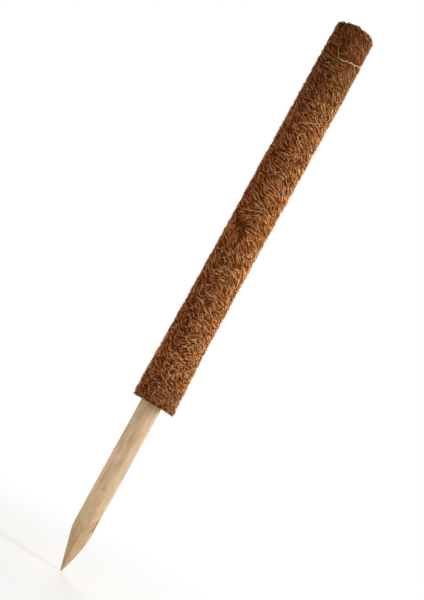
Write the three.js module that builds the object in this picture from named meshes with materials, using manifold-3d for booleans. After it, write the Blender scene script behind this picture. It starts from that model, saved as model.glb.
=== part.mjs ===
// Moss pole: a pointed wooden stake inside a rolled mat of coir fibre, closed on top by a folded coir flap.
// Millimetres, +Z up. The origin lies on the pole's axis at the soil line, the lower end of the coir.
// The front is -Y, where the folded flap shows. The lap of the mat is at the back, +Y.

import * as THREE from 'three';
import { mergeVertices } from 'three/addons/utils/BufferGeometryUtils.js';
import Module from 'manifold-3d';

const wasm = await Module();
wasm.setup();

// Coir sleeve as a whole
const SLEEVE_LENGTH = 420;
const SLEEVE_DIAMETER = 43;
const RIM_ROUND = 4.5;
const CROWN = 1.2;

// Wooden stake
const STAKE_DIAMETER = 21.5;
const STAKE_EXPOSED = 180;
const POINT_LENGTH = 47;
const TIP_WIDTH = 1.8;
const STAKE_TOP_CHAMFER = 1.5;

// Roll of the mat: how often its slit goes round, and what is left of its thinned ends
const ROLL_TURNS = 1.6;
const LAP_EDGE = 1.2;
const LAP_DIRECTION = 90;
const ROLL_SLIT = 0.4;

// Folded flap on the front
const FLAP_DIRECTION = -60;
const FLAP_WIDTH = 47;
const FLAP_DROP = 35;
const FLAP_TILT = 14;
const FLAP_CORNER = 4;

// Wire staples
const STAPLE_CROWN = 10.6;
const STAPLE_WIRE = 0.7;
const STAPLE_WIDTH = 1.2;
const STAPLE_POINT = 1.5;
const STAPLE_SINK = 0.2;
const SEAM_STAPLE_COUNT = 5;
const SEAM_STAPLE_LEG = 18;
const SEAM_STAPLE_FROM_EDGE = 4;
const SEAM_STAPLE_MARGIN = 30;
const START_STAPLE_COUNT = 3;
const START_STAPLE_LEG = 10;
const START_STAPLE_FROM_EDGE = 14;
const START_STAPLE_MARGIN = 70;
const FLAP_STAPLE_LEG = 16;
const FLAP_STAPLE_SPACING = 9;

// Clearance left between pieces that lie on each other
const FIT = 0.3;

// Facets of round surfaces
const ROUND_STEPS = 72;
const RIM_STEPS = 6;
const CROWN_STEPS = 4;
const CORNER_STEPS = 6;

// Sizes that follow from the driving ones
const sleeveRadius = SLEEVE_DIAMETER / 2;
const stakeRadius = STAKE_DIAMETER / 2;
const boreRadius = stakeRadius + FIT;
const matThickness = (sleeveRadius - boreRadius - 2 * LAP_EDGE) / ROLL_TURNS;
const flapBedRadius = sleeveRadius - matThickness;
const flapBedHeight = SLEEVE_LENGTH - matThickness;
const stakeTop = flapBedHeight - FIT;
const stakeTip = -STAKE_EXPOSED;
const crownRadius = sleeveRadius - RIM_ROUND;
const lapAngle = THREE.MathUtils.degToRad(LAP_DIRECTION);
const slitSweep = ROLL_TURNS * 2 * Math.PI;
const startAngle = lapAngle - slitSweep;

const coir = () => new THREE.MeshStandardMaterial({ color: '#7a4d2b', roughness: 0.95, metalness: 0 });
const wood = () => new THREE.MeshStandardMaterial({ color: '#cdb08a', roughness: 0.75, metalness: 0 });
const steel = () => new THREE.MeshStandardMaterial({ color: '#a9a9a6', roughness: 0.4, metalness: 1 });

// A closed geometry as a solid that can be joined and cut.
function solid(geometry) {
  const bare = geometry.clone();
  bare.deleteAttribute('normal');
  bare.deleteAttribute('uv');
  const merged = mergeVertices(bare, 1e-5);
  const index = merged.index.array;
  const triVerts = [];
  for (let i = 0; i < index.length; i += 3) {
    const [a, b, c] = index.slice(i, i + 3);
    if (a !== b && b !== c && c !== a) triVerts.push(a, b, c);
  }
  return new wasm.Manifold(new wasm.Mesh({
    numProp: 3,
    vertProperties: new Float32Array(merged.attributes.position.array),
    triVerts: new Uint32Array(triVerts),
  }));
}

// The solid back as a geometry, with a flat normal on each facet.
function geometryOf(body) {
  const mesh = body.getMesh();
  const indexed = new THREE.BufferGeometry();
  indexed.setAttribute('position', new THREE.BufferAttribute(new Float32Array(mesh.vertProperties), 3));
  indexed.setIndex(new THREE.BufferAttribute(new Uint32Array(mesh.triVerts), 1));
  const flat = indexed.toNonIndexed();
  flat.computeVertexNormals();
  return flat;
}

// A solid turned round the Z axis from its profile of radius and height.
function turned(profile) {
  return solid(new THREE.LatheGeometry(profile, ROUND_STEPS).rotateX(Math.PI / 2));
}

function plainCylinder(radius, bottom, top) {
  return turned([
    new THREE.Vector2(0, bottom),
    new THREE.Vector2(radius, bottom),
    new THREE.Vector2(radius, top),
    new THREE.Vector2(0, top),
  ]);
}

function polar(radius, angle) {
  return new THREE.Vector2(radius * Math.cos(angle), radius * Math.sin(angle));
}

// Height of the softly crowned top at a distance from the axis.
function crownHeight(radius) {
  return SLEEVE_LENGTH - CROWN * (radius / crownRadius) ** 2;
}

// Outside of the whole coir sleeve: straight side, rounded rim and crowned top.
function sleeveEnvelope() {
  const profile = [new THREE.Vector2(0, 0), new THREE.Vector2(sleeveRadius, 0)];
  const rimHeight = SLEEVE_LENGTH - CROWN - RIM_ROUND;
  for (let i = 0; i <= RIM_STEPS; i += 1) {
    const turn = (i / RIM_STEPS) * (Math.PI / 2);
    const out = crownRadius + RIM_ROUND * Math.cos(turn);
    profile.push(new THREE.Vector2(out, rimHeight + RIM_ROUND * Math.sin(turn)));
  }
  for (let i = CROWN_STEPS - 1; i >= 0; i -= 1) {
    const radius = (crownRadius * i) / CROWN_STEPS;
    profile.push(new THREE.Vector2(radius, crownHeight(radius)));
  }
  return turned(profile);
}

// Middle of the slit between the turns of the roll, at an angle counted from its inner end.
function slitRadius(sweep) {
  const inner = boreRadius + LAP_EDGE;
  const outer = sleeveRadius - LAP_EDGE;
  return inner + (outer - inner) * (sweep / slitSweep);
}

// The rolled mat in section: a ring cut by one spiral slit, which leaves a strip with thinned ends.
function rollSection() {
  const stepCount = Math.round(ROUND_STEPS * ROLL_TURNS);
  const half = ROLL_SLIT / 2;
  const outerGap = half / sleeveRadius;
  const innerGap = half / boreRadius;
  const points = [];
  for (let i = 0; i <= ROUND_STEPS; i += 1) {
    const share = i / ROUND_STEPS;
    points.push(polar(sleeveRadius, lapAngle + outerGap + share * (2 * Math.PI - 2 * outerGap)));
  }
  for (let i = stepCount; i >= 0; i -= 1) {
    const sweep = (i / stepCount) * slitSweep;
    const trim = i === 0 ? -innerGap : -outerGap;
    points.push(polar(slitRadius(sweep) + half, startAngle + sweep + trim));
  }
  for (let i = 0; i <= ROUND_STEPS; i += 1) {
    const share = i / ROUND_STEPS;
    points.push(polar(boreRadius, startAngle - innerGap - share * (2 * Math.PI - 2 * innerGap)));
  }
  for (let i = 0; i <= stepCount; i += 1) {
    const sweep = (i / stepCount) * slitSweep;
    const trim = i === stepCount ? outerGap : innerGap;
    points.push(polar(slitRadius(sweep) - half, startAngle + sweep + trim));
  }
  return new THREE.Shape(points);
}

// Block that spans the folded flap: a rounded tongue seen square on, run out from the axis to past the side.
function flapBlock(grow) {
  const half = FLAP_WIDTH / 2 + grow;
  const low = -FLAP_DROP - grow;
  const high = FLAP_WIDTH;
  const corner = FLAP_CORNER + grow;
  const tongue = new THREE.Shape();
  tongue.moveTo(-half, high);
  tongue.lineTo(-half, low + corner);
  tongue.absarc(-half + corner, low + corner, corner, Math.PI, 1.5 * Math.PI, false);
  tongue.absarc(half - corner, low + corner, corner, 1.5 * Math.PI, 2 * Math.PI, false);
  tongue.lineTo(half, high);
  const runOut = { depth: SLEEVE_DIAMETER, bevelEnabled: false, curveSegments: CORNER_STEPS };
  const block = new THREE.ExtrudeGeometry(tongue, runOut);
  block.rotateZ(THREE.MathUtils.degToRad(FLAP_TILT));
  block.rotateX(Math.PI / 2);
  block.rotateZ(THREE.MathUtils.degToRad(FLAP_DIRECTION + 90));
  block.translate(0, 0, SLEEVE_LENGTH);
  return solid(block);
}

// Space of the flap and of the disc that closes the top, both one mat thick.
function flapSpace(grow) {
  const disc = plainCylinder(flapBedRadius + grow, flapBedHeight - grow, SLEEVE_LENGTH + SLEEVE_DIAMETER);
  const bed = plainCylinder(flapBedRadius - grow, 0, flapBedHeight - grow);
  return flapBlock(grow).add(disc).subtract(bed);
}

// Wire staple with its crown along X, its back at z = 0 and its legs down, or the room it takes when grown.
function stapleGeometry(leg, grow) {
  const out = STAPLE_CROWN / 2 + grow;
  const inside = STAPLE_CROWN / 2 - STAPLE_WIRE - grow;
  const under = -STAPLE_WIRE - grow;
  const end = -leg - grow;
  const outline = new THREE.Shape([
    new THREE.Vector2(-out, grow),
    new THREE.Vector2(-out, end),
    new THREE.Vector2(-inside, end + STAPLE_POINT),
    new THREE.Vector2(-inside, under),
    new THREE.Vector2(inside, under),
    new THREE.Vector2(inside, end + STAPLE_POINT),
    new THREE.Vector2(out, end),
    new THREE.Vector2(out, grow),
  ]);
  const width = STAPLE_WIDTH + 2 * grow;
  const wire = new THREE.ExtrudeGeometry(outline, { depth: width, bevelEnabled: false });
  return wire.translate(0, 0, -width / 2).rotateX(Math.PI / 2);
}

// Place of a staple driven towards the axis, with its crown upright.
function sidePlace(radius, angle, height) {
  const outward = new THREE.Vector3(Math.cos(angle), Math.sin(angle), 0);
  const up = new THREE.Vector3(0, 0, 1);
  const across = new THREE.Vector3().crossVectors(outward, up);
  const seat = outward.clone().multiplyScalar(radius).setZ(height);
  return new THREE.Matrix4().makeBasis(up, across, outward).setPosition(seat);
}

function spread(count, margin, index) {
  return count === 1 ? SLEEVE_LENGTH / 2 : margin + ((SLEEVE_LENGTH - 2 * margin) * index) / (count - 1);
}

function seamStaples() {
  const angle = lapAngle - SEAM_STAPLE_FROM_EDGE / sleeveRadius;
  return Array.from({ length: SEAM_STAPLE_COUNT }, (_, i) => ({
    name: `seam_staple_${i + 1}`,
    leg: SEAM_STAPLE_LEG,
    place: sidePlace(sleeveRadius - STAPLE_SINK, angle, spread(SEAM_STAPLE_COUNT, SEAM_STAPLE_MARGIN, i)),
  }));
}

function startStaples() {
  const sweep = START_STAPLE_FROM_EDGE / boreRadius;
  const face = slitRadius(sweep) - ROLL_SLIT / 2;
  return Array.from({ length: START_STAPLE_COUNT }, (_, i) => ({
    name: `start_staple_${i + 1}`,
    leg: START_STAPLE_LEG,
    place: sidePlace(face, startAngle + sweep, spread(START_STAPLE_COUNT, START_STAPLE_MARGIN, i)),
  }));
}

function flapStaples() {
  return [-1, 1].map((side, i) => {
    const x = (side * FLAP_STAPLE_SPACING) / 2;
    const quarter = new THREE.Matrix4().makeRotationZ(Math.PI / 2);
    return {
      name: `flap_staple_${i + 1}`,
      leg: FLAP_STAPLE_LEG,
      place: quarter.setPosition(x, 0, crownHeight(Math.abs(x)) - STAPLE_SINK),
    };
  });
}

const staples = [...seamStaples(), ...startStaples(), ...flapStaples()];

function withStapleHoles(body) {
  return staples.reduce((rest, { leg, place }) => {
    return rest.subtract(solid(stapleGeometry(leg, FIT).applyMatrix4(place)));
  }, body);
}

// Round stake, full length, with a four-sided point whose ridges face front, back and sides.
function stakeBody() {
  const length = stakeTop - stakeTip;
  const shaft = turned([
    new THREE.Vector2(0, stakeTip),
    new THREE.Vector2(stakeRadius, stakeTip),
    new THREE.Vector2(stakeRadius, stakeTop - STAKE_TOP_CHAMFER),
    new THREE.Vector2(stakeRadius - STAKE_TOP_CHAMFER, stakeTop),
    new THREE.Vector2(0, stakeTop),
  ]);
  const slope = (stakeRadius - TIP_WIDTH / 2) / POINT_LENGTH;
  const pastTip = TIP_WIDTH / 2 / slope;
  const height = length + pastTip + STAKE_DIAMETER;
  const facets = new THREE.ConeGeometry(height * slope * Math.SQRT2, height, 4);
  facets.rotateX(-Math.PI / 2).translate(0, 0, stakeTip - pastTip + height / 2);
  return withStapleHoles(shaft.intersect(solid(facets)));
}

function matBody() {
  const roll = new THREE.ExtrudeGeometry(rollSection(), { depth: SLEEVE_LENGTH, bevelEnabled: false });
  return withStapleHoles(solid(roll).intersect(sleeveEnvelope()).subtract(flapSpace(FIT)));
}

function flapBody() {
  return withStapleHoles(sleeveEnvelope().intersect(flapSpace(0)));
}

function named(name, geometry, material) {
  const mesh = new THREE.Mesh(geometry, material);
  mesh.name = name;
  return mesh;
}

const mossPole = new THREE.Group();
mossPole.add(named('wooden_stake', geometryOf(stakeBody()), wood()));
mossPole.add(named('coir_mat', geometryOf(matBody()), coir()));
mossPole.add(named('coir_end_flap', geometryOf(flapBody()), coir()));
for (const { name, leg, place } of staples) {
  const staple = named(name, stapleGeometry(leg, 0), steel());
  staple.applyMatrix4(place);
  mossPole.add(staple);
}

export default mossPole;
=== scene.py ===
"""Looks of the moss pole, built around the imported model: coir felt with loose fibre on a whittled stake.

Lengths are millimetres and become metres where a mesh, a material, a lamp or the camera is made.
A point's way is its distance from the centre of the closed end, out over the rim and down the sleeve.
"""

import math

import bpy
import numpy as np
from mathutils import Matrix, Vector


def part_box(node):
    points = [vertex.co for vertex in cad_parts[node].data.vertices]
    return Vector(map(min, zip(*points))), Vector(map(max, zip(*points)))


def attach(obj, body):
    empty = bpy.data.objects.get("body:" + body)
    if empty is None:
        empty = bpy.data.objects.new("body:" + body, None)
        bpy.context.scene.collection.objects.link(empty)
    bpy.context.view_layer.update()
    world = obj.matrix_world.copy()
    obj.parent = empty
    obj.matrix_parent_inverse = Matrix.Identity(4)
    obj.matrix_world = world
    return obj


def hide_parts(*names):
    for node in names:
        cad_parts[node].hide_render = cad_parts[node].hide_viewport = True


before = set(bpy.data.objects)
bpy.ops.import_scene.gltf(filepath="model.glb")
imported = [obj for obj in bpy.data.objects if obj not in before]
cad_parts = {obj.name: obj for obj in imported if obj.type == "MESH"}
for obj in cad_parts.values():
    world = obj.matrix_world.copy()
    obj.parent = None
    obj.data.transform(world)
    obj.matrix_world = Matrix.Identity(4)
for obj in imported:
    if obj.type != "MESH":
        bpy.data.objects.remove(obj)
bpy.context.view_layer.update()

MM = 0.001
FULL_TURN = 2 * math.pi
TINY = 1e-9
SEED = 29


def box_mm(node):
    """Lowest and highest corner of a CAD node in millimetres."""
    low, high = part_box(node)
    return np.array(low) / MM, np.array(high) / MM


# Sizes taken from the frame, with the clearance of the solids
mat_low, mat_high = box_mm("coir_mat")
_, flap_high = box_mm("coir_end_flap")
stake_low, stake_high = box_mm("wooden_stake")
FIT = 0.3
SLEEVE_R = (mat_high[0] - mat_low[0]) / 2
TOP = flap_high[2]
STAKE_R = (stake_high[0] - stake_low[0]) / 2
STAKE_TOP = stake_high[2]
TIP = stake_low[2]
BORE_R = STAKE_R + FIT
MAT_THICKNESS = TOP - FIT - STAKE_TOP
BED_R = SLEEVE_R - MAT_THICKNESS

# Closed end of the sleeve, with the rim of the solid and a flatter crown
RIM_ROUND = 4.5
CROWN = 0.4
CROWN_R = SLEEVE_R - RIM_ROUND
RIM_END = CROWN_R + RIM_ROUND * math.pi / 2
RIM_Z = TOP - CROWN - RIM_ROUND
FOOT = RIM_END + RIM_Z

# Folded flap and roll of the mat, as on the solids
FLAP_ANGLE = math.radians(-60)
FLAP_TILT = math.radians(14)
FLAP_WIDTH = 47
FLAP_DROP = 35
FLAP_CORNER = 4
LAP_ANGLE = math.radians(90)
LAP_EDGE = 1.2
ROLL_TURNS = 1.6

# Slack of the soft sleeve: its end tips up towards the front and left, and its foot spreads to the right
END_LIFT = 0.9
END_TILT_FRONT = 1.2
END_TILT_LEFT = 0.8
END_BLEND = 25
FOOT_TILT = 0.8
FOOT_SPREAD = 1.4
FOOT_SPREAD_ANGLE = math.radians(-45)
FOOT_SPREAD_HEIGHT = 85
FOOT_SPREAD_CURVE = 1.8
WAIST = 0.4
WAIST_HEIGHT = 165
WAIST_LENGTH = 90

# Felt under the fibre
FELT_SINK = 1.2
COARSE_RELIEF = 0.08
FINE_RELIEF = 0.12
FLAP_RECESS = 0.8
FLAP_TUCK = 3
EDGE_ROUND = 0.9
LAP_STEP = 1.1
LAP_FADE = 9

# Columns of the felt's meshes, and the gap between them at the lap
COLUMNS = 160
LAP_GAP = 0.3

# Lie of the fibre, measured down from level towards the right
MEAN_LIE = 0.52
LIE_SWING = 0.24

# Below this height the fibre is curlier, fully so further down by the blend
CURLY_HEIGHT = 125
CURLY_BLEND = 60
CURLY_SWING = 0.16
CURLY_WAVE = 0.5
CURLY_SHORTENING = 0.4

# Dimple in the front from which the fibre fans out
DIMPLE_ANGLE = math.radians(-110)
DIMPLE_HEIGHT = 190
DIMPLE_RADIUS = 1.3
DIMPLE_DEPTH = 0.3
DIMPLE_CLEAR = 0.6
FAN_PULL = 1.2
FAN_CORE = 1
FAN_REACH = 17


# Surfaces of the sleeve, as functions of the angle round the pole and of the way

def smooth_step(x):
    """An even curve from 0, for 0 and less, to 1, for 1 and more."""
    x = np.clip(x, 0, 1)
    return x * x * (3 - 2 * x)


def between(start, end, share):
    """What lies a share of the way from a start to an end."""
    return start + (end - start) * share


def round_axis(radius, angle, height, aside=0):
    """Points round the pole's axis, or round a line aside from it."""
    x, y = aside + radius * np.cos(angle), radius * np.sin(angle)
    return np.stack(np.broadcast_arrays(x, y, height), -1)


def profile(way):
    """Radius, height and outward normal (radial, upward) of the sleeve's plain outside."""
    way = np.asarray(way, float)
    turn = np.clip((way - CROWN_R) / RIM_ROUND, 0, math.pi / 2)
    on_top = way < CROWN_R
    radius = np.where(on_top, way, CROWN_R + RIM_ROUND * np.sin(turn))
    top_z = TOP - CROWN * (way / CROWN_R) ** 2
    rim_z = RIM_Z + RIM_ROUND * np.cos(turn)
    height = np.where(on_top, top_z, rim_z - np.maximum(way - RIM_END, 0))
    lean = np.where(on_top, 2 * CROWN * way / CROWN_R**2, np.sin(turn))
    rise = np.where(on_top, 1.0, np.cos(turn))
    size = np.hypot(lean, rise)
    return radius, height, lean / size, rise / size


def inside_flap(x, y, z):
    """Millimetres inside the edge of the folded flap, negative out on the mat."""
    out = x * math.cos(FLAP_ANGLE) + y * math.sin(FLAP_ANGLE)
    lateral = y * math.cos(FLAP_ANGLE) - x * math.sin(FLAP_ANGLE)
    across = lateral * math.cos(FLAP_TILT) + (z - TOP) * math.sin(FLAP_TILT)
    down = lateral * math.sin(FLAP_TILT) - (z - TOP) * math.cos(FLAP_TILT)
    side = FLAP_WIDTH / 2 - np.abs(across)
    end = FLAP_DROP - down
    corner = FLAP_CORNER - np.hypot(FLAP_CORNER - side, FLAP_CORNER - end)
    in_corner = (side < FLAP_CORNER) & (end < FLAP_CORNER)
    edge = np.where(in_corner, corner, np.minimum(side, end))
    return np.maximum(np.minimum(edge, out), BED_R - np.hypot(x, y))


def wave_field(rng, count, shortest, longest):
    """A smooth random function of angle and way, made of sine waves that close round the pole."""
    length = rng.uniform(shortest, longest, count)
    lean = rng.uniform(0, FULL_TURN, count)
    around = np.round(FULL_TURN * SLEEVE_R / length * np.cos(lean))
    along = FULL_TURN / length * np.sin(lean)
    phase = rng.uniform(0, FULL_TURN, count)
    gain = math.sqrt(2 / count)

    def field(angle, way):
        angle, way = np.broadcast_arrays(angle, way)
        total = np.zeros(angle.shape)
        for a, b, c in zip(around, along, phase):
            total += np.sin(a * angle + b * way + c)
        return total * gain

    return field


felt_rng = np.random.default_rng(SEED)
coarse_waves = wave_field(felt_rng, count=26, shortest=14, longest=46)
fine_waves = wave_field(felt_rng, count=40, shortest=3.5, longest=8)
lie_waves = wave_field(felt_rng, count=22, shortest=16, longest=48)


def wrapped(angle):
    """The same angle, between half a turn back and half a turn on."""
    return np.mod(angle + math.pi, FULL_TURN) - math.pi


def from_dimple(angle, way):
    """Millimetres round the pole and down it from the dimple, and straight to it."""
    around = wrapped(angle - DIMPLE_ANGLE) * SLEEVE_R
    down = way - (FOOT - DIMPLE_HEIGHT)
    return around, down, np.hypot(around, down)


def curliness(way):
    """How curly the fibre is, from 0 on the upper sleeve to 1 at the foot."""
    return smooth_step((way - FOOT + CURLY_HEIGHT) / CURLY_BLEND)


def lie_of_fibre(angle, way):
    """Direction of the fibre: in whorls round a slant across the pole, and out from the dimple."""
    lie = MEAN_LIE + (LIE_SWING + CURLY_SWING * curliness(way)) * lie_waves(angle, way)
    around, down, away = from_dimple(angle, way)
    pull = np.exp(-((away / FAN_REACH) ** 2)) / np.maximum(away, FAN_CORE) * FAN_PULL
    return np.arctan2(np.sin(lie) + pull * down, np.cos(lie) + pull * around)


def relief(angle, way):
    return COARSE_RELIEF * coarse_waves(angle, way) + FINE_RELIEF * fine_waves(angle, way)


def edge_distance(angle, way):
    radius, height, _, _ = profile(way)
    return inside_flap(radius * np.cos(angle), radius * np.sin(angle), height)


def mat_offset(angle, way):
    """How far the felt of the mat stands off the plain outside: lower past the lap and under the flap."""
    past_lap = np.mod(angle - LAP_ANGLE, FULL_TURN) * SLEEVE_R
    lap = LAP_STEP * np.exp(-past_lap / LAP_FADE)
    bed = (MAT_THICKNESS - FELT_SINK) * smooth_step(edge_distance(angle, way) / EDGE_ROUND)
    dimple = DIMPLE_DEPTH * np.exp(-((from_dimple(angle, way)[2] / DIMPLE_RADIUS) ** 2))
    return relief(angle, way) - FELT_SINK - lap - bed - dimple


def flap_offset(angle, way):
    """The same for the flap, which lies a little deeper and is tucked in past its edge."""
    tuck = FLAP_TUCK * smooth_step(-edge_distance(angle, way) / EDGE_ROUND)
    return relief(angle, way) - FELT_SINK - FLAP_RECESS - tuck


def slacken(radius, angle, height):
    """Points of the sleeve, with the tilt of its end, its waist and the spread of its foot."""
    share = radius / SLEEVE_R
    low = np.clip(1 - height / FOOT_SPREAD_HEIGHT, 0, 1) ** FOOT_SPREAD_CURVE
    spread = FOOT_SPREAD * low * (1 + np.cos(angle - FOOT_SPREAD_ANGLE))
    waist = WAIST * np.exp(-(((height - WAIST_HEIGHT) / WAIST_LENGTH) ** 2))
    radius = radius + share * (spread - waist)
    x, y = radius * np.cos(angle), radius * np.sin(angle)
    lift = END_LIFT - (END_TILT_FRONT * y + END_TILT_LEFT * x) / SLEEVE_R
    lift = lift * smooth_step((height - TOP) / END_BLEND + 1) - FOOT_TILT * x / SLEEVE_R * low
    return np.stack([x, y, height + lift], -1)


def on_surface(angle, way, offset):
    """Points that stand off the plain outside by an offset, and the outward normals there."""
    radius, height, lean, rise = profile(way)
    points = slacken(radius + lean * offset, angle, height + rise * offset)
    return points, round_axis(lean, angle, rise)


# Meshes

def new_object(name, data):
    """A new object in the scene."""
    made = bpy.data.objects.new(name, data)
    bpy.context.scene.collection.objects.link(made)
    return made


def make_mesh(name, points, *faces):
    """A smooth mesh object from points in millimetres and arrays of corner numbers."""
    faces = [np.asarray(f, np.int32) for f in faces]
    corners = np.concatenate([f.ravel() for f in faces])
    sizes = np.concatenate([np.full(len(f), f.shape[1], np.int32) for f in faces])
    starts = np.concatenate([[0], np.cumsum(sizes)[:-1]]).astype(np.int32)
    mesh = bpy.data.meshes.new(name)
    mesh.vertices.add(len(points))
    mesh.vertices.foreach_set("co", (np.asarray(points) * MM).astype(np.float32).ravel())
    mesh.loops.add(len(corners))
    mesh.loops.foreach_set("vertex_index", corners)
    mesh.polygons.add(len(sizes))
    mesh.polygons.foreach_set("loop_start", starts)
    mesh.polygons.foreach_set("use_smooth", np.ones(len(sizes), bool))
    mesh.update(calc_edges=True)
    mesh.validate()
    return new_object(name, mesh)


def set_marks(piece, name, values, unmarked=0):
    """Stores a number for each point of a mesh, and zero for the last points that are unmarked."""
    marks = piece.data.attributes.new(name, "FLOAT", "POINT")
    marks.data.foreach_set("value", np.concatenate([values.ravel(), np.zeros(unmarked)]).astype(np.float32))


def grid_quads(rows, columns, closed_rows=False):
    """Corner numbers of a grid whose columns run round and close."""
    row = np.arange(rows if closed_rows else rows - 1)
    i, j = np.meshgrid(row, np.arange(columns), indexing="ij")
    below, after = (i + 1) % rows, (j + 1) % columns
    corners = [i * columns + j, i * columns + after, below * columns + after, below * columns + j]
    return np.stack(corners, -1).reshape(-1, 4)


def lap_columns():
    """Angles of the columns, from just past the lap's edge round to just before it."""
    gap = LAP_GAP / SLEEVE_R
    return (LAP_ANGLE + gap + np.linspace(0, FULL_TURN - 2 * gap, COLUMNS))[None, :]


def slit_depth(angle, radius):
    """Depth of the spiral groove between the turns of the mat, on its cut lower end."""
    deepest, half_width = 1.6, 0.45
    inner, outer = BORE_R + LAP_EDGE, SLEEVE_R - LAP_EDGE
    start = LAP_ANGLE - ROLL_TURNS * FULL_TURN
    swept = np.mod(angle - start, FULL_TURN)
    depth = np.zeros(np.broadcast_shapes(angle.shape, radius.shape))
    for turn in range(math.ceil(ROLL_TURNS)):
        share = (swept / FULL_TURN + turn) / ROLL_TURNS
        off = radius - between(inner, outer, share)
        depth += np.where(share <= 1, deepest * np.exp(-((off / half_width) ** 2)), 0)
    return depth


def on_lower_end(angle, radius, lift):
    """Points and normals down from the mat's cut lower end, which is drawn aside with the stake."""
    roughness, stretch, rise = 0.25, 3, 0.3
    angle, radius = np.broadcast_arrays(angle, radius)
    rough = roughness * fine_waves(angle, radius * stretch)
    points = slacken(radius, angle, rough + slit_depth(angle, radius) + rise - lift)
    points[..., 0] += STAKE_ASIDE * (SLEEVE_R - radius) / (SLEEVE_R - BORE_R)
    return points, np.zeros(points.shape) - (0, 0, 1)


def make_mat():
    """Felt of the rolled mat: cut lower end, outside, rim and the bed of the flap, closed down the bore."""
    end_rows, rim_rows, row_step, foot_margin, bed_margin, bed_depth = 24, 12, 1.0, 0.5, 1, 2
    angle = lap_columns()
    lower, _ = on_lower_end(angle, np.linspace(BORE_R, SLEEVE_R - FELT_SINK, end_rows)[:, None], 0)
    up_side = np.arange(FOOT - foot_margin, RIM_END, -row_step)
    over_rim = np.linspace(RIM_END, CROWN_R - bed_margin, rim_rows)
    way = np.concatenate([up_side, over_rim])[:, None]
    side, _ = on_surface(angle, way, mat_offset(angle, way))
    bed, bore = (slacken(radius, angle, STAKE_TOP - bed_depth) for radius in (BED_R, BORE_R))
    bore[..., 0] += STAKE_ASIDE
    rows = np.concatenate([lower, side, bed, bore])
    quads = grid_quads(len(rows), COLUMNS, closed_rows=True)
    return make_mesh("coir_sleeve_felt", rows.reshape(-1, 3), quads)


def make_flap():
    """Felt of the flap, a shell that ends just past its edge, under the mat."""
    row_step, margin, overlap = 0.8, 8, 1.6
    angle = lap_columns()
    way = np.arange(row_step / 2, RIM_END + FLAP_DROP + margin, row_step)[:, None]
    outer, _ = on_surface(angle, way, flap_offset(angle, way))
    inner, _ = on_surface(angle, way, FIT - MAT_THICKNESS)
    quads = grid_quads(len(way), COLUMNS)
    middle = edge_distance(angle, way).ravel()[quads].mean(1)
    kept = quads[middle > -overlap]
    count = len(way) * COLUMNS
    edges = np.concatenate([kept[:, [k, (k + 1) % 4]] for k in range(4)]).tolist()
    pairs = {(a, b) for a, b in edges}
    rim = np.array([(a, b) for a, b in edges if (b, a) not in pairs])
    walls = np.stack([rim[:, 1], rim[:, 0], rim[:, 0] + count, rim[:, 1] + count], -1)
    points = np.concatenate([outer.reshape(-1, 3), inner.reshape(-1, 3)])
    faces = np.concatenate([kept, kept[:, ::-1] + count, walls])
    used, renumbered = np.unique(faces, return_inverse=True)
    return make_mesh("coir_flap_felt", points[used], renumbered.reshape(faces.shape))


# Fibre: sides of a strand, and how far it hangs over the foot
STRAND_SIDES = 3
FOOT_OVERHANG = 0.8


def trace(rng, angle, way, length, steps, swing, bend, wave, wave_length=9):
    """Follows fibres over the surface along its lie, with a lean, a bend and a wave of their own."""
    least_way, least_radius, spread = 2, 6, (0.75, 1.3)
    count = len(angle)
    lean = rng.normal(0, swing, count)
    curl = rng.normal(0, bend, count)
    phase = rng.uniform(0, FULL_TURN, count)
    pitch = rng.uniform(*spread, count) * wave_length
    path = [(angle, way)]
    step = length / steps
    for i in range(steps):
        gone = (i + 0.5) * step
        heading = lie_of_fibre(angle, way) + lean + curl * (gone - length / 2)
        heading = heading + wave * np.sin(FULL_TURN * gone / pitch + phase)
        radius = np.maximum(profile(way)[0], least_radius)
        angle = angle + np.cos(heading) * step / radius
        way = way + np.sin(heading) * step
        path.append((angle, way))
    angles, ways = (np.stack(x, 1) for x in zip(*path))
    return angles, np.clip(ways, least_way, FOOT + FOOT_OVERHANG)


def spaced(angles, ways, cell, crowding):
    """Numbers of the fibres that find room beside those already laid."""
    columns = int(round(FULL_TURN * SLEEVE_R / cell))
    rows = math.ceil((FOOT + FOOT_OVERHANG) / cell) + 1
    taken = np.zeros((rows, columns), bool)
    i = np.clip((ways / cell).astype(int), 0, rows - 1)
    j = np.floor(np.mod(angles, FULL_TURN) / FULL_TURN * columns).astype(int) % columns
    kept = []
    for n in range(len(angles)):
        if taken[i[n], j[n]].mean() <= crowding:
            for down in (-1, 0, 1):
                for aside in (-1, 0, 1):
                    taken[np.clip(i[n] + down, 0, rows - 1), (j[n] + aside) % columns] = True
            kept.append(n)
    return np.array(kept)


def fibre_points(angles, ways, lift):
    """Fibres laid on the mat or on the flap by where their middle is, diving at the edges and the foot."""
    dive, ahead, lap_reach, foot_dive, foot_height = 2, 0.3, 30, 0.9, 2.5
    distance = edge_distance(angles, ways)
    middle = angles.shape[1] // 2
    on_flap = distance[:, middle:middle + 1] > 0
    offset = np.where(on_flap, flap_offset(angles, ways), mat_offset(angles, ways))
    across = np.where(on_flap, -distance, distance)
    past_lap = wrapped(angles - LAP_ANGLE) * SLEEVE_R
    near_lap = np.abs(past_lap) < lap_reach
    across_lap = np.where(near_lap, -past_lap * np.sign(past_lap[:, middle:middle + 1]), -lap_reach)
    drop = dive * smooth_step((np.maximum(across, across_lap) + ahead) / EDGE_ROUND)
    drop = drop + foot_dive * smooth_step((ways - FOOT) / foot_height + 1)
    return on_surface(angles, ways, offset + lift - drop)


def on_mat(angles, ways, lift):
    """Fibres laid on the mat alone."""
    return on_surface(angles, ways, mat_offset(angles, ways) + lift)


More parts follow.
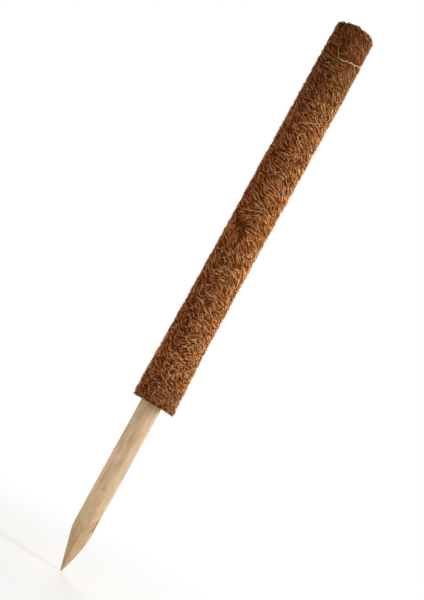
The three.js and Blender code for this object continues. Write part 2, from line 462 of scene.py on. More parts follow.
def map_strands(piece, count, rows):
    """Lays each strand out in a cell of its own on the map that its colours are drawn on."""
    wall_margin, cap_margin, cap_height = 0.12, 0.02, 0.1
    side = math.ceil(math.sqrt(count))
    cell = np.stack([np.arange(count) % side, np.arange(count) // side], -1)
    along = (np.arange(rows - 1)[:, None, None] + np.array([0, 0, 1, 1])) / (rows - 1)
    around = (np.arange(STRAND_SIDES)[None, :, None] + np.array([0, 1, 1, 0])) / STRAND_SIDES
    wall = wall_margin + (1 - 2 * wall_margin) * np.stack(np.broadcast_arrays(along, around), -1)
    cap = np.array([[cap_margin, cap_height], [cap_margin, 1 - cap_height], [cap_height, 0.5]])
    ends = np.stack([cap, (1, 0) + cap * (-1, 1)])
    walls = (cell[:, None, None, None] + wall) / side
    caps = (cell[None, :, None] + ends[:, None]) / side
    places = np.concatenate([walls.ravel(), caps.ravel()]).astype(np.float32)
    piece.data.uv_layers.new(name="OFBake").uv.foreach_set("vector", places)


def make_fibres(name, points, normals, radius, shade):
    """One mesh of thin three-sided strands with closed ends, each marked with its shade."""
    count, rows, _ = points.shape
    tangent = np.gradient(points, axis=1)
    tangent /= np.linalg.norm(tangent, axis=-1, keepdims=True)
    side = np.cross(tangent, normals)
    side /= np.maximum(np.linalg.norm(side, axis=-1, keepdims=True), TINY)
    up = np.cross(side, tangent)
    turns = np.arange(STRAND_SIDES) * FULL_TURN / STRAND_SIDES
    corners = [math.cos(turn) * up + math.sin(turn) * side for turn in turns]
    ring = points[:, :, None] + np.stack(corners, 2) * radius[:, :, None, None]
    first = (np.arange(count) * rows * STRAND_SIDES)[:, None]
    quads = first[:, :, None] + grid_quads(rows, STRAND_SIDES)
    last = first + (rows - 1) * STRAND_SIDES
    caps = np.concatenate([first + (0, 2, 1), last + (0, 1, 2)])
    piece = make_mesh(name, ring.reshape(-1, 3), quads.reshape(-1, 4), caps)
    map_strands(piece, count, rows)
    set_marks(piece, "shade", np.repeat(shade, rows * STRAND_SIDES))
    return piece


def shares(rows):
    """Shares of a fibre's length at its points."""
    return np.linspace(0, 1, rows)[None, :]


def arch(rows):
    """Share of full lift or thickness at the points of a fibre, low at both ends."""
    start, end, fullness = 0.08, 0.92, 0.6
    return np.sin(np.linspace(start, end, rows) * math.pi)[None, :] ** fullness


def column(rng, ends, count):
    """A random number between two ends for each fibre."""
    return rng.uniform(*ends, (count, 1))


def arched(rng, lay, angles, ways, base, heights, radii):
    """Points, normals, thickness and shade of fibres that arch over what they are laid on."""
    count, rows = angles.shape
    points, normals = lay(angles, ways, base + column(rng, heights, count) * arch(rows))
    radius = column(rng, radii, count) * arch(rows)
    return points, normals, radius, rng.uniform(0, 1, count)


def clear_of_staples(angles, ways):
    """True for fibres that leave the crowns of the staples at the back in sight."""
    room_across, room_along = 3.2, 7.5
    clear = np.ones(len(angles), bool)
    _, height, _, _ = profile(ways)
    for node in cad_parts:
        if node.startswith("seam_staple"):
            low, high = box_mm(node)
            x, _, z = (low + high) / 2
            across = wrapped(angles - math.atan2(high[1], x)) * SLEEVE_R
            clear &= (np.hypot(across / room_across, (height - z) / room_along) > 1).all(1)
    return clear


def random_seats(rng, count):
    """Random places spread evenly over the outside, closed end included, from a count of tries."""
    least_way = 3
    way = rng.uniform(least_way, FOOT, count)
    radius = profile(way)[0]
    wanted = rng.uniform(0, SLEEVE_R, count) < radius
    return rng.uniform(0, FULL_TURN, count)[wanted], way[wanted]


def beside(angles, ways, distance):
    """Lines that run beside others at a distance, measured across them."""
    around = np.gradient(angles, axis=1) * SLEEVE_R
    along = np.gradient(ways, axis=1)
    size = np.maximum(np.hypot(around, along), TINY)
    return angles - along / size * distance / SLEEVE_R, ways + around / size * distance


def stretch_of(lines, start, end):
    """Points evenly along a stretch of each line, between two shares of its length."""
    rows = lines.shape[1]
    place = between(start, end, shares(rows)) * (rows - 1)
    first = np.clip(place.astype(int), 0, rows - 2)
    line = np.arange(len(lines))[:, None]
    return lines[line, first] + (place - first) * (lines[line, first + 1] - lines[line, first])


def lock_lines(rng):
    """Middle lines of the locks, laid along the lie of the felt where there is room, and their lengths."""
    shortest, mean_extra, longest, wave = 9, 6, 28, 0.2
    angle, way = random_seats(rng, count=60_000)
    curly = curliness(way)
    length = np.minimum(shortest + rng.exponential(mean_extra, len(angle)), longest)
    length = length * (1 - CURLY_SHORTENING * curly)
    angles, ways = trace(rng, angle, way, length, steps=12, swing=0.12, bend=0.02,
                         wave=wave + CURLY_WAVE * curly)
    kept = spaced(angles, ways, cell=0.58, crowding=0.36)
    angles, ways, length = angles[kept], ways[kept], length[kept]
    clear = clear_of_staples(angles, ways) & (from_dimple(angles, ways)[2] > DIMPLE_CLEAR).all(1)
    return angles[clear], ways[clear], length[clear]


def lock_fibres(rng):
    """Locks of three curly fibres that weave in and out of the felt and make its visible grain."""
    gap, base, dive, common_shade = 0.36, 0.65, 1.1, 0.35
    angles, ways, length = lock_lines(rng)
    count, rows = angles.shape
    weave_length = column(rng, (9, 16), count)
    turns = length[:, None] * shares(rows) / weave_length + column(rng, (0, 1), count)
    weave = np.sin(FULL_TURN * turns)
    lock_shade = rng.uniform(0, 1, count)
    made = []
    for side in (-gap, 0, gap):
        start, end = column(rng, (0, 0.28), count), column(rng, (0.72, 1), count)
        lines = beside(angles, ways, side * rng.uniform(0.6, 1.4, angles.shape))
        strand_angles, strand_ways, strand_weave = (stretch_of(x, start, end) for x in (*lines, weave))
        height = column(rng, (0.4, 0.68), count) * strand_weave
        points, normals = fibre_points(strand_angles, strand_ways, base + height - dive * (1 - arch(rows)))
        radius = column(rng, (0.19, 0.29), count) * arch(rows)
        shade = common_shade * lock_shade + (1 - common_shade) * rng.uniform(0, 1, count)
        made.append((points, normals, radius, shade))
    return [np.concatenate(x) for x in zip(*made)]


def on_the_flap(points):
    """True for fibres whose middle lies on the flap."""
    middle = points[:, points.shape[1] // 2]
    return inside_flap(*middle.T) > 0


def scattered(rng, count, lengths, **path):
    """Paths of fibres of random lengths, scattered over the outside."""
    angle, way = random_seats(rng, count)
    return trace(rng, angle, way, rng.uniform(*lengths, len(angle)), **path)


def under_fibres(rng):
    """Short fibres that fill the depth between the locks, in darker colours that paint the shade of that
    depth.
    """
    paths = scattered(rng, count=12_000, lengths=(5, 12), steps=5, swing=0.6, bend=0.06, wave=0.2)
    clear = clear_of_staples(*paths)
    angles, ways = (x[clear] for x in paths)
    return arched(rng, fibre_points, angles, ways, base=-0.3, heights=(0.2, 0.5), radii=(0.14, 0.25))


def loose_fibres(rng):
    """Thin long fibres that lie loosely over the felt, well off its lie."""
    angles, ways = scattered(rng, count=1300, lengths=(6, 20), steps=12, swing=0.6, bend=0.08, wave=0.3,
                             wave_length=10)
    return arched(rng, fibre_points, angles, ways, base=-0.2, heights=(1.15, 1.6), radii=(0.13, 0.24))


# Curls on the front: angle in degrees, height, radius, and start and end of the arc in degrees
CURLS = (
    (-98, 52.5, 5.8, 165, 285),
    (-85, 9.7, 5.2, 120, 260),
    (-83, 294, 3.4, 40, 330),
    (-85, 35, 3.4, 170, 370),
    (-70, 62, 3.0, -20, 190),
    (-101, 256, 4.2, 200, 330),
    (-62, 148, 3.6, 10, 170),
)


def curl_fibres(rng):
    """Curled single fibres on the front, three side by side along each arc."""
    rows, gap, wander = 17, 0.4, 0.1
    sides = np.array([[-gap], [0], [gap]])
    made = []
    for angle, height, size, start, end in CURLS:
        turn = np.radians(np.linspace(start, end, rows))[None, :]
        reach = size + sides + wander * rng.normal(size=(len(sides), rows))
        angles = math.radians(angle) + reach * np.cos(turn) / SLEEVE_R
        ways = FOOT - height - reach * np.sin(turn)
        made.append(arched(rng, on_mat, angles, ways, base=0.1, heights=(1.0, 1.25), radii=(0.2, 0.3)))
    return [np.concatenate(x) for x in zip(*made)]


def sway(rng, along, phase, widths, lengths=(1.2, 2.6)):
    """Sideways sway of matted fibres along their length."""
    count = len(along)
    return column(rng, widths, count) * np.sin(along / column(rng, lengths, count) + phase)


def lap_fibres(rng):
    """Matted fibres along the outer edge of the rolled mat at the back."""
    count, rows, margin = 170, 13, 2
    length = column(rng, (8, 22), count)
    start = RIM_END + margin + column(rng, (0, 1), count) * (FOOT - RIM_END - 2 * margin - length)
    ways = start + length * shares(rows)
    swayed = sway(rng, ways, start, widths=(0.1, 0.5))
    angles = LAP_ANGLE - (column(rng, (0.3, 1.4), count) + swayed) / SLEEVE_R
    return arched(rng, on_mat, angles, ways, base=-0.2, heights=(0.7, 1.2), radii=(0.18, 0.3))


def flap_edge_line():
    """Angle and way along the flap's slack wavy free edge below the rim, by the distance along it."""
    half_angle, columns, row_step, above, below, step = 1.6, 640, 0.1, 3, 12, 0.25
    slack_length, waves = 10, ((0.55, 2.6, 1), (0.3, 1.1, 0))
    angle = FLAP_ANGLE + np.linspace(-half_angle, half_angle, columns)
    way = np.arange(RIM_END - above, RIM_END + FLAP_DROP + below, row_step)
    inside = edge_distance(angle[:, None], way[None, :]) > 0
    crossed = inside.any(1)
    last = inside.shape[1] - 1 - np.argmax(inside[:, ::-1], axis=1)
    angle, way = angle[crossed], way[last[crossed]]
    gone = np.concatenate([[0], np.cumsum(np.hypot(np.diff(angle) * SLEEVE_R, np.diff(way)))])
    even = np.arange(0, gone[-1], step)
    slack = np.full(int(slack_length / step), step / slack_length)
    angle, way = (np.convolve(np.interp(even, gone, x), slack, "valid") for x in (angle, way))
    gone = even[:len(angle)]
    for width, length, phase in waves:
        way = way + width * np.sin(gone / length + phase)
    return gone, angle, way


def edge_fibres(rng):
    """Matted fibres along the free edge of the flap, thickest along its lower side, with a painted
    highlight: palest along the lower side, which faces up into the light, and faint along the upright side.
    """
    count, rows, first, crowding, drop, drop_spread = 62, 15, 10, 0.6, 0.1, 0.25
    short_side, blend, thinnest, faintest, darkest = 0.08, 0.22, 0.8, 0.12, 0.4
    gone, edge_angle, edge_way = flap_edge_line()
    length = column(rng, (7, 20), count)
    place = column(rng, (0, 1), count) ** crowding
    start = first + place * (gone[-1] - length - first)
    along = start + length * shares(rows)
    swayed = sway(rng, along, start, widths=(0.15, 0.5))
    angles = np.interp(along, gone, edge_angle)
    ways = np.interp(along, gone, edge_way) + rng.normal(drop, drop_spread, (count, 1)) + swayed

    def off_edge(angles, ways, lift):
        return on_surface(angles, ways, mat_offset(angles, FOOT / 2) + lift)

    points, normals, radius, shade = arched(rng, off_edge, angles, ways, base=-0.2, heights=(1.0, 1.6),
                                            radii=(0.2, 0.32))
    # Painted highlight: fibres along the lower side are drawn palest, as if lit, those on the upright side
    # faint
    lower_side = smooth_step((place - short_side) / blend)
    radius = radius * between(thinnest, 1, lower_side)
    shade = between(faintest, 1, lower_side[:, 0]) * between(darkest, 1, shade)
    return points, normals, radius, shade


def end_fibres(rng):
    """Short cut fibres on the mat's lower end, most of them along its turns."""
    count, rows, inner_margin, outer_margin, swing = 1100, 6, 0.9, 1.6, 0.55
    inner, outer = BORE_R + inner_margin, SLEEVE_R - outer_margin
    radius = np.sqrt(column(rng, (inner**2, outer**2), count))
    angle = column(rng, (0, FULL_TURN), count)
    heading = rng.normal(0, swing, (count, 1))
    along = column(rng, (2.5, 7.5), count) * np.linspace(-0.5, 0.5, rows)[None, :]
    angles = angle + along * np.cos(heading) / radius
    radii = np.clip(radius + along * np.sin(heading), inner, outer)
    return arched(rng, on_lower_end, angles, radii, base=-0.2, heights=(0.2, 0.6), radii=(0.13, 0.24))


# Wooden stake: its place in the sleeve, the roughness of its shaft, and its rows and columns
STAKE_ASIDE = -0.8
SHAFT_EXTRA = 0.05
SHAFT_RELIEF = 0.1
SHAFT_STRETCH = 0.5
STAKE_COLUMNS = 96
CARVED_LENGTH = 64
CARVED_ROWS = 110
SHAFT_FROM = 2
SHAFT_ROWS = 120
TOP_CHAMFER = 1.5

# Whittled point: length and rounding of its left, right, front and back ridge, and the facets between them
TIP_WIDTH = 1.6
RIDGES = ((42, 1.03), (44, 1.5), (43, 1.15), (42, 1.2))
FACET_FULLNESS = 1.35
BORDER_SOFTNESS = 0.5
BORDER_SHARE = 8

# Chipped scar above the point
SCAR_ANGLE = math.radians(-28)
SCAR_HEIGHT = -124
SCAR_WIDTH = 9
SCAR_LENGTH = 32
SCAR_DEPTH = 0.45
SCAR_STEEPNESS = 2.2
SCAR_RAGGEDNESS = 0.35


def ridge_reach(height, length, rounding):
    """Distance of a ridge of the point from the axis, which runs on past the shaft above its length."""
    share = np.maximum(height - TIP, 0) / length
    rise = np.where(share < 1, 1 - np.abs(1 - np.minimum(share, 1)) ** rounding, share)
    return between(TIP_WIDTH / 2, STAKE_R, rise)


def facet_reach(angle, height):
    """Distance of the four whittled facets from the axis, a little full from ridge to ridge."""
    left, right, front, back = (ridge_reach(height, *ridge) for ridge in RIDGES)
    sideways = np.where(np.cos(angle) > 0, right, left)
    endways = np.where(np.sin(angle) > 0, back, front)
    share = (np.abs(np.cos(angle)) / sideways) ** FACET_FULLNESS
    share = share + (np.abs(np.sin(angle)) / endways) ** FACET_FULLNESS
    return share ** (-1 / FACET_FULLNESS)


def scar_share(angle, height):
    """Share of the scar's full depth, with a ragged border."""
    ragged = wave_field(np.random.default_rng(SEED + 3), count=30, shortest=4, longest=12)(angle, height)
    around = wrapped(angle - SCAR_ANGLE) * STAKE_R / (SCAR_WIDTH / 2)
    along = (height - SCAR_HEIGHT) / (SCAR_LENGTH / 2)
    return smooth_step(SCAR_STEEPNESS * (1 - np.hypot(around, along)) + SCAR_RAGGEDNESS * ragged)


def stake_rows():
    """Heights of the stake's rows below its top, closer together where it is carved."""
    carved_end = TIP + CARVED_LENGTH
    carved = np.linspace(TIP, carved_end, CARVED_ROWS)
    shaft = np.linspace(carved_end + SHAFT_FROM, STAKE_TOP - TOP_CHAMFER, SHAFT_ROWS)
    return np.concatenate([carved, shaft])[:, None]


def make_stake():
    """Round stake with a four-sided point, marked where it is cut and scarred and where a painted highlight
    runs beside the ridge.
    """
    cut_blend, cut_ahead, cut_border = 3.5, 0.25, 0.7
    highlight_blend, highlight_aside, highlight_width = 3, 0.6, 0.9
    angle = (np.arange(STAKE_COLUMNS) * FULL_TURN / STAKE_COLUMNS)[None, :]
    height = stake_rows()
    rough = wave_field(np.random.default_rng(SEED + 1), count=18, shortest=30, longest=160)
    shaft = STAKE_R + SHAFT_EXTRA + SHAFT_RELIEF * rough(angle, height * SHAFT_STRETCH)
    facets = facet_reach(angle, height)
    softness = np.minimum(BORDER_SOFTNESS, facets / BORDER_SHARE)
    scar = scar_share(angle, height)
    radius = (shaft + facets - np.hypot(shaft - facets, softness)) / 2 - SCAR_DEPTH * scar
    aside = STAKE_ASIDE * smooth_step((height - TIP) / CARVED_LENGTH)
    top = round_axis(STAKE_R - TOP_CHAMFER, angle, STAKE_TOP, STAKE_ASIDE)
    rows = np.concatenate([round_axis(radius, angle, height, aside), top])
    points = np.concatenate([rows.reshape(-1, 3), [[0, 0, TIP], [0, 0, STAKE_TOP]]])
    here = np.arange(STAKE_COLUMNS)
    after = (here + 1) % STAKE_COLUMNS
    last = (len(rows) - 1) * STAKE_COLUMNS
    centre = 0 * here + len(rows) * STAKE_COLUMNS
    fans = np.concatenate([np.stack([after, here, centre], -1),
                           np.stack([last + here, last + after, centre + 1], -1)])
    stake = make_mesh("whittled_stake", points, grid_quads(len(rows), STAKE_COLUMNS), fans)
    bare = shaft - facets
    # Painted highlight: a pale band beside the front ridge of the point
    from_ridge = wrapped(angle + math.pi / 2) * radius - highlight_aside
    marks = {"cut": smooth_step(bare / cut_blend + cut_ahead),
             "cut_edge": np.exp(-((bare / cut_border) ** 2)),
             "scar": scar,
             "painted_ridge_highlight": np.exp(-((from_ridge / highlight_width) ** 2)) * smooth_step(bare / highlight_blend)}
    for name, values in marks.items():
        set_marks(stake, name, values, unmarked=STAKE_COLUMNS + 2)
    return stake


# Materials, with the scales of their patterns counted per metre; id_data is the tree that a node is in

def set_inputs(node, values):
    """Sets a node's inputs to values, or links them to other nodes' outputs."""
    for name, value in values.items():
        if isinstance(value, bpy.types.NodeSocket):
            node.id_data.links.new(value, node.inputs[name])
        else:
            node.inputs[name].default_value = value


def add(tree, kind, values, **settings):
    """A new node with its settings and inputs."""
    made = tree.nodes.new(kind)
    for name, value in settings.items():
        setattr(made, name, value)
    set_inputs(made, values)
    return made


def maths(operation, *values):
    tree = values[0].id_data
    return add(tree, "ShaderNodeMath", dict(enumerate(values)), operation=operation).outputs[0]


def vector_maths(operation, *values):
    tree = values[0].id_data
    return add(tree, "ShaderNodeVectorMath", dict(enumerate(values)), operation=operation).outputs


def share_between(value, start, end, most=1.0):
    """How far a value has come from a start to an end, as a share of a most."""
    ends = {"Value": value, "From Min": start, "From Max": end, "To Max": most}
    return add(value.id_data, "ShaderNodeMapRange", ends).outputs["Result"]


def ramp(factor, *stops):
    """Colours along a factor, from (place, linear colour) stops."""
    made = add(factor.id_data, "ShaderNodeValToRGB", {"Fac": factor})
    while len(made.color_ramp.elements) < len(stops):
        made.color_ramp.elements.new(0.5)
    for element, (place, colour) in zip(made.color_ramp.elements, stops):
        element.position = place
        element.color = (*colour, 1)
    return made.outputs["Color"]


def grey(value):
    return (value, value, value)


def shaded(factor, *shades, unit=1):
    """Greys along a factor, from (place, grey) stops with their places in a unit."""
    return ramp(factor, *((place * unit, grey(shade)) for place, shade in shades))


def mixed(tree, factor, first, second, blend="MIX"):
    """Two colours, at inputs 6 and 7 of a colour mix node, mixed by the factor at input 0."""
    first, second = ((*x, 1) if isinstance(x, tuple) else x for x in (first, second))
    made = add(tree, "ShaderNodeMix", {0: factor, 6: first, 7: second}, data_type="RGBA", blend_type=blend)
    return made.outputs[2]


def tinted(colour, *tints):
    """A colour multiplied by others."""
    for tint in tints:
        colour = mixed(colour.id_data, 1.0, colour, tint, "MULTIPLY")
    return colour


def new_material(name):
    """An empty node material with its shader and its object coordinates."""
    material = bpy.data.materials.new(name)
    material.use_nodes = True
    tree = material.node_tree
    shader = tree.nodes["Principled BSDF"]
    where = tree.nodes.new("ShaderNodeTexCoord").outputs["Object"]
    return material, tree, shader, where


def noise(where, scale, detail, roughness=0.55, distortion=0.0, output="Fac"):
    values = {"Vector": where, "Scale": scale, "Detail": detail, "Roughness": roughness,
              "Distortion": distortion}
    return add(where.id_data, "ShaderNodeTexNoise", values).outputs[output]


def grain(where, scales, detail):
    """Noise with a scale of its own along each axis."""
    stretched = add(where.id_data, "ShaderNodeMapping", {"Vector": where, "Scale": scales})
    return noise(stretched.outputs["Vector"], scale=1.0, detail=detail)


def mark_of(tree, name):
    return add(tree, "ShaderNodeAttribute", {}, attribute_name=name).outputs["Fac"]


def bump(height, strength, distance):
    values = {"Height": height, "Strength": strength, "Distance": distance * MM}
    return add(height.id_data, "ShaderNodeBump", values).outputs["Normal"]


# Shades of the coir by height, darker at its foot and its closed end, and a painted shade on its left side:
# a redder, darker tint that stands for warm light bounced into the shadow there
END_SHADES = ((0, 0.62), (40, 1), (310, 1), (360, 0.69))
LEFT_PAINTED_SHADE = (1.03, 0.85, 0.84)

# Colours of the fibre's darkest, middle and lightest strands
FIBRE_COLOURS = {
    "coir_fibre": ((0.37, 0.138, 0.034), (0.68, 0.315, 0.106), (0.94, 0.63, 0.335)),
    "coir_flap_fibre": ((0.17, 0.056, 0.014), (0.37, 0.148, 0.046), (0.84, 0.47, 0.2)),
    # Painted shade: the deep fibres' darker colours stand for the shade in the depth between the locks
    "coir_deep_fibre_painted_shade": ((0.16, 0.047, 0.011), (0.32, 0.11, 0.028), (0.58, 0.24, 0.075)),
    # Partly painted highlight: pale fibres of their own, made lighter for the highlights on the loose
    # fibres and curls that lie on top
    "coir_light_fibre_painted_highlight": ((0.5, 0.2, 0.055), (0.84, 0.47, 0.2), (0.95, 0.64, 0.35)),
    # Painted highlight: the flap edge's fibres are pale to stand for the light caught by its cut edge
    "coir_edge_fibre_painted_highlight": ((0.45, 0.22, 0.085), (0.9, 0.57, 0.29), (0.97, 0.69, 0.41)),
}
MIDDLE_STRAND = 0.38


def felt_material():
    """Matted coir that shows between the fibres, coloured dark as a painted shade of the depth between
    them.
    """
    material, _, shader, where = new_material("coir_felt_painted_shade")
    matted = noise(where, scale=430, detail=2.5, roughness=0.6, distortion=1.6)
    # Painted shade: the felt's dark colours stand for the shade deep between the fibres
    colour = ramp(matted, (0.42, (0.055, 0.012, 0.002)), (0.52, (0.14, 0.036, 0.007)),
                  (0.62, (0.36, 0.125, 0.033)))
    dark = shaded(noise(where, scale=1500, detail=3), (0.3, 0.6), (0.7, 1.0))
    normal = bump(matted, strength=0.9, distance=1)
    set_inputs(shader, {"Base Color": tinted(colour, dark), "Roughness": 0.95, "Specular IOR Level": 0.04,
                        "Normal": normal})
    return material


def fibre_material(name):
    """Coir fibre: each strand has a shade of its own, with streaks of painted shade and highlight, patches,
    shaded ends and a painted shade on the left over it.
    """
    material, tree, shader, where = new_material(name)
    dark, middle, light = FIBRE_COLOURS[name]
    strand = ramp(mark_of(tree, "shade"), (0.0, dark), (MIDDLE_STRAND, middle), (1.0, light))
    patches = shaded(noise(where, scale=38, detail=2), (0.3, 0.95), (0.7, 1.04))
    # Painted shade and highlight: dark streaks along the fibres stand for the shade in the pits between
    # them, light ones for paler highlights
    streaks = ramp(noise(where, scale=950, detail=1), (0.38, (0.48, 0.37, 0.25)), (0.6, (1.43, 1.54, 1.64)))
    hues = ramp(noise(where, scale=48, detail=2), (0.36, (1.06, 0.93, 0.88)), (0.64, (0.985, 1.01, 0.96)))
    place = add(tree, "ShaderNodeSeparateXYZ", {"Vector": where}).outputs
    ends = shaded(place["Z"], *END_SHADES, unit=MM)
    # Painted shade: towards the left side the coir is tinted redder and darker, for warm bounce light in
    # shadow
    across = share_between(place["X"], -SLEEVE_R * MM, SLEEVE_R * MM)
    side = ramp(across, (0.1, LEFT_PAINTED_SHADE), (0.75, grey(1.0)))
    colour = tinted(strand, patches, streaks, hues, ends, side)
    set_inputs(shader, {"Base Color": colour, "Roughness": 0.7, "Specular IOR Level": 0.05})
    return material


# How far the stake's axis lies from the pith, the middle of the growth rings
FROM_PITH = (26, 6, 0)

# Marks in the wood: angle in degrees, height, half width, half height and darkness
KNOTS = (
    (-97, -92, 2.7, 2.3, 0.4),
    (-125, -131, 2.0, 1.4, 0.5),
    (-70, -117, 1.0, 3.0, 0.35),
    (-104, -38, 0.9, 2.2, 0.25),
    (62, -58, 2.6, 3.6, 0.6),
    (150, -104, 1.6, 2.4, 0.5),
    (115, -22, 1.2, 5.0, 0.4),
)
KNOT_COLOUR = (0.33, 0.19, 0.085)
KNOT_SHAKE = (2, 2, 4)
KNOT_BORDER = 1.1
KNOT_CORE = 0.5


def knot_shade(where):
    """How dark the knots make the wood, from 0 to 1."""
    shake = noise(where, scale=500, detail=2, roughness=0.5, output="Color")
    shift = vector_maths("SUBTRACT", shake, grey(0.5))["Vector"]
    moved = vector_maths("MULTIPLY_ADD", shift, Vector(KNOT_SHAKE) * MM, where)["Vector"]
    total = None
    for angle, height, half_width, half_height, darkness in KNOTS:
        turn = math.radians(angle)
        centre = Vector((STAKE_R * math.cos(turn), STAKE_R * math.sin(turn), height)) * MM
        off = vector_maths("SUBTRACT", moved, centre)["Vector"]
        half_size = Vector((half_width, half_width, half_height)) * MM
        away = vector_maths("LENGTH", vector_maths("DIVIDE", off, half_size)["Vector"])["Value"]
        mark = share_between(away, KNOT_BORDER, KNOT_CORE, most=darkness)
        total = mark if total is None else maths("MAXIMUM", total, mark)
    return total


def growth_rings(tree, where):
    """Late wood as a share, from one growth ring to the next."""
    shift = {"Vector": where, "Location": Vector(FROM_PITH) * MM, "Scale": (1, 1, 0.05)}
    from_pith = add(tree, "ShaderNodeMapping", shift).outputs["Vector"]
    values = {"Vector": from_pith, "Scale": 150, "Distortion": 2.2, "Detail": 2.0, "Detail Scale": 0.5}
    kind = {"wave_type": "RINGS", "rings_direction": "Z", "wave_profile": "SAW"}
    return add(tree, "ShaderNodeTexWave", values, **kind).outputs["Fac"]


def plain_wood(tree, where, fine_grain):
    """Colour of the uncut wood: streaks and pores along the grain, mottling and growth rings."""
    streaks = ramp(grain(where, scales=(260, 260, 6), detail=5), (0.3, (0.505, 0.375, 0.248)),
                   (0.5, (0.58, 0.447, 0.302)), (0.72, (0.632, 0.517, 0.375)))
    pores = shaded(fine_grain, (0.3, 0.86), (0.55, 1.0))
    blotches = ramp(grain(where, scales=(130, 130, 55), detail=3), (0.34, (0.88, 0.81, 0.73)),
                    (0.6, grey(1.04)))
    hues = ramp(noise(where, scale=95, detail=1), (0.36, (0.97, 1.0, 0.93)), (0.64, (1.03, 0.955, 0.955)))
    rings = ramp(growth_rings(tree, where), (0.35, grey(1.02)), (1.0, (0.955, 0.915, 0.86)))
    return tinted(streaks, pores, blotches, hues, rings)


def wood_material():
    """Bare pale softwood with darker whittled cuts, whose tint also paints shade on the left and light on
    the right, a painted highlight beside the ridge, a chipped scar and knots.
    """
    material, tree, shader, where = new_material("bare_softwood")
    fine_grain = grain(where, scales=(1500, 1500, 40), detail=3)
    # Painted light and shade: the cut facets' tint runs from darker and browner on the left to paler on the
    # right, by how the light falls on them
    side = add(tree, "ShaderNodeSeparateXYZ", {"Vector": where}).outputs["X"]
    across = share_between(side, -STAKE_R * MM, STAKE_R * MM)
    facets = ramp(across, (0.41, (0.83, 0.77, 0.64)), (0.46, (0.93, 0.79, 0.54)), (0.53, (0.86, 0.88, 0.8)))
    cut = mixed(tree, mark_of(tree, "cut"), grey(1.0), facets)
    border = maths("MULTIPLY", mark_of(tree, "cut_edge"), noise(where, scale=160, detail=2))
    border_tint = ramp(border, (0.25, grey(1.0)), (0.75, (0.9, 0.78, 0.64)))
    # Painted highlight beside the ridge of the point, a paler and cooler tint
    painted_ridge_highlight = ramp(mark_of(tree, "painted_ridge_highlight"), (0.0, grey(1.0)), (1.0, (1.1, 1.13, 1.16)))
    whittled = tinted(plain_wood(tree, where, fine_grain), cut, border_tint, painted_ridge_highlight)
    chips = ramp(grain(where, scales=(520, 520, 105), detail=2), (0.36, (0.2, 0.095, 0.032)),
                 (0.46, (0.36, 0.2, 0.08)), (0.56, (0.6, 0.41, 0.21)))
    scarred = mixed(tree, mark_of(tree, "scar"), whittled, chips)
    colour = mixed(tree, knot_shade(where), scarred, KNOT_COLOUR)
    roughness = shaded(fine_grain, (0.3, 0.62), (0.7, 0.78))
    normal = bump(fine_grain, strength=0.35, distance=0.3)
    set_inputs(shader, {"Base Color": colour, "Roughness": roughness, "Specular IOR Level": 0.3,
                        "Normal": normal})
    return material


def wire_material():
    """Galvanised wire with faint drawing marks."""
    material, _, shader, where = new_material("galvanised_wire")
    marks = grain(where, scales=(900, 900, 4000), detail=3)
    colour = ramp(marks, (0.3, (0.26, 0.26, 0.25)), (0.7, (0.42, 0.42, 0.4)))
    roughness = shaded(marks, (0.3, 0.28), (0.7, 0.46))
    set_inputs(shader, {"Base Color": colour, "Roughness": roughness, "Metallic": 1.0})
    return material


# Pieces

def dress(piece, material, slot, *nodes):
    """Gives a piece its material and its body and hides the CAD nodes that it stands for; its slot is not
    used.
    """
    piece.data.materials.clear()
    piece.data.materials.append(material)
    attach(piece, "root")
    if nodes:
        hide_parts(*nodes)


def lay_fibres(label, points, normals, radius, shade, material):
    """Makes the pieces for a layer of fibres, more than one from the foot up where there are many."""
    most_triangles = 180_000
    triangles = len(points) * ((points.shape[1] - 1) * 2 * STRAND_SIDES + 2)
    upwards = np.argsort(points[:, 0, 2])
    zones = np.array_split(upwards, math.ceil(triangles / most_triangles))
    for n, zone in enumerate(zones):
        name = f"{label}_{n + 1}" if len(zones) > 1 else label
        strands = (x[zone] for x in (points, normals, radius, shade))
        dress(make_fibres(name, *strands), material, "coir")


# Layers of fibre, with what grows them and the name of their material
LAYERS = (
    ("coir_under_fibres", under_fibres, "coir_deep_fibre_painted_shade"),
    ("coir_locks", lock_fibres, "coir_fibre"),
    ("coir_loose_fibres", loose_fibres, "coir_light_fibre_painted_highlight"),
    ("coir_curls", curl_fibres, "coir_light_fibre_painted_highlight"),
    ("coir_lap_fibres", lap_fibres, "coir_fibre"),
    ("coir_edge_fibres", edge_fibres, "coir_edge_fibre_painted_highlight"),
    ("coir_end_fibres", end_fibres, "coir_fibre"),
)
felt = felt_material()
fibres = {name: fibre_material(name) for name in FIBRE_COLOURS}

dress(make_mat(), felt, "coir", "coir_mat")
dress(make_flap(), felt, "coir", "coir_end_flap")
dress(make_stake(), wood_material(), "stake_wood", "wooden_stake")
fibre_rng = np.random.default_rng(SEED + 2)
for label, grow, colours in LAYERS:
    strands = grow(fibre_rng)
    flap_part = on_the_flap(strands[0]) & (label == "coir_locks")
    if flap_part.any():
        lay_fibres(label + "_on_flap", *(x[flap_part] for x in strands), fibres["coir_flap_fibre"])
    lay_fibres(label, *(x[~flap_part] for x in strands), fibres[colours])
wire = wire_material()
for node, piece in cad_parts.items():
    if "staple" in node:
        piece.data.materials.clear()
        piece.data.materials.append(wire)


# Stage, light and camera

WHITE = (1, 1, 1, 1)
AMBIENT = 0.45
AMBIENT_COLOUR = (1, 0.92, 0.84, 1)
LAMP_COLOUR = (1, 0.995, 0.985)
FLOOR_COLOUR = (0.92, 0.92, 0.915, 1)
FLOOR_SIDES = 96
FLOOR_RADIUS = 450
FLOOR_FADE = ((0, 0.35), (220, 0.5), (440, 1.0))

SENSOR = 36
LENS = 67.86
CAMERA_PLACE = (2.2, -1097, 14.4)
CAMERA_PITCH = 0.092
CAMERA_ROLL = math.radians(28.77)


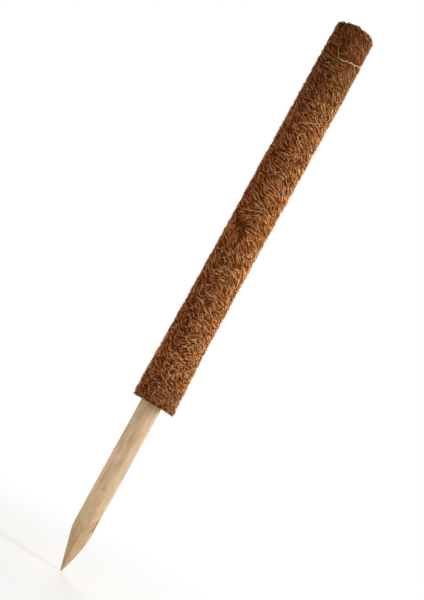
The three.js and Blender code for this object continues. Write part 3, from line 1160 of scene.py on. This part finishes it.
def seen_directly(tree):
    """1 for rays that show the background: from the camera, off gloss or through glass."""
    path = tree.nodes.new("ShaderNodeLightPath").outputs
    either = maths("MAXIMUM", path["Is Camera Ray"], path["Is Glossy Ray"])
    return maths("MAXIMUM", either, path["Is Transmission Ray"])


def make_world():
    """Soft warm light from all round, behind a white background."""
    world = bpy.data.worlds.new("studio")
    world.use_nodes = True
    tree = world.node_tree
    tree.nodes.clear()
    soft = add(tree, "ShaderNodeBackground", {"Color": AMBIENT_COLOUR, "Strength": AMBIENT}).outputs[0]
    white = add(tree, "ShaderNodeBackground", {"Color": WHITE, "Strength": 1.0}).outputs[0]
    both = add(tree, "ShaderNodeMixShader", {0: seen_directly(tree), 1: soft, 2: white}).outputs[0]
    add(tree, "ShaderNodeOutputWorld", {"Surface": both})
    bpy.context.scene.world = world


def make_floor():
    """Pale floor at the stake's tip that keeps a soft shadow and fades to white away from the pole."""
    angle = np.arange(FLOOR_SIDES) * FULL_TURN / FLOOR_SIDES
    rim = round_axis(FLOOR_RADIUS, angle, TIP - FIT)
    floor = make_mesh("floor", rim, [np.arange(FLOOR_SIDES)])
    material, tree, shader, where = new_material("pale_floor")
    set_inputs(shader, {"Base Color": FLOOR_COLOUR, "Roughness": 0.9})
    fade = shaded(vector_maths("LENGTH", where)["Value"], *FLOOR_FADE, unit=MM)
    share = maths("MULTIPLY", fade, seen_directly(tree))
    white = add(tree, "ShaderNodeEmission", {"Color": WHITE, "Strength": 1.0}).outputs[0]
    both = add(tree, "ShaderNodeMixShader", {0: share, 1: shader.outputs[0], 2: white}).outputs[0]
    set_inputs(tree.nodes["Material Output"], {"Surface": both})
    floor.data.materials.append(material)


def make_lamp(name, strength, distance, size, angle, rise, aim, spread=180):
    """A soft round lamp, aimed at a height on the pole's axis, which it lights by its strength."""
    angle, rise, spread = (math.radians(x) for x in (angle, rise, spread))
    data = bpy.data.lights.new(name, "AREA")
    data.shape = "DISK"
    data.size = size * MM
    narrowing = 1 - spread / 2 / math.tan(spread / 2)
    data.energy = strength * narrowing * (math.pi * distance * MM) ** 2
    data.color = LAMP_COLOUR
    data.spread = spread
    lamp = new_object(name, data)
    flat = math.cos(rise)
    towards = Vector((math.sin(angle) * flat, -math.cos(angle) * flat, math.sin(rise)))
    lamp.location = (Vector((0, 0, aim)) + towards * distance) * MM
    lamp.rotation_euler = towards.to_track_quat("Z", "Y").to_euler()


def make_camera():
    """Camera a little above the foot of the coir, rolled so that the pole leans to the right."""
    data = bpy.data.cameras.new("camera")
    data.sensor_width = SENSOR
    data.lens = LENS
    camera = new_object("camera", data)
    place = Matrix.Translation(Vector(CAMERA_PLACE) * MM)
    tilt = Matrix.Rotation(math.pi / 2 + CAMERA_PITCH, 4, "X")
    camera.matrix_world = place @ tilt @ Matrix.Rotation(CAMERA_ROLL, 4, "Z")
    bpy.context.scene.camera = camera


make_world()
make_floor()
make_lamp("key", strength=0.96, distance=850, size=600, angle=74, rise=14, aim=40)
make_lamp("fill", strength=0.62, distance=300, size=160, angle=-55, rise=5, aim=-75, spread=50)
make_lamp("back", strength=0.4, distance=1000, size=500, angle=192, rise=25, aim=120)
make_camera()
bpy.context.scene.view_settings.view_transform = "Standard"
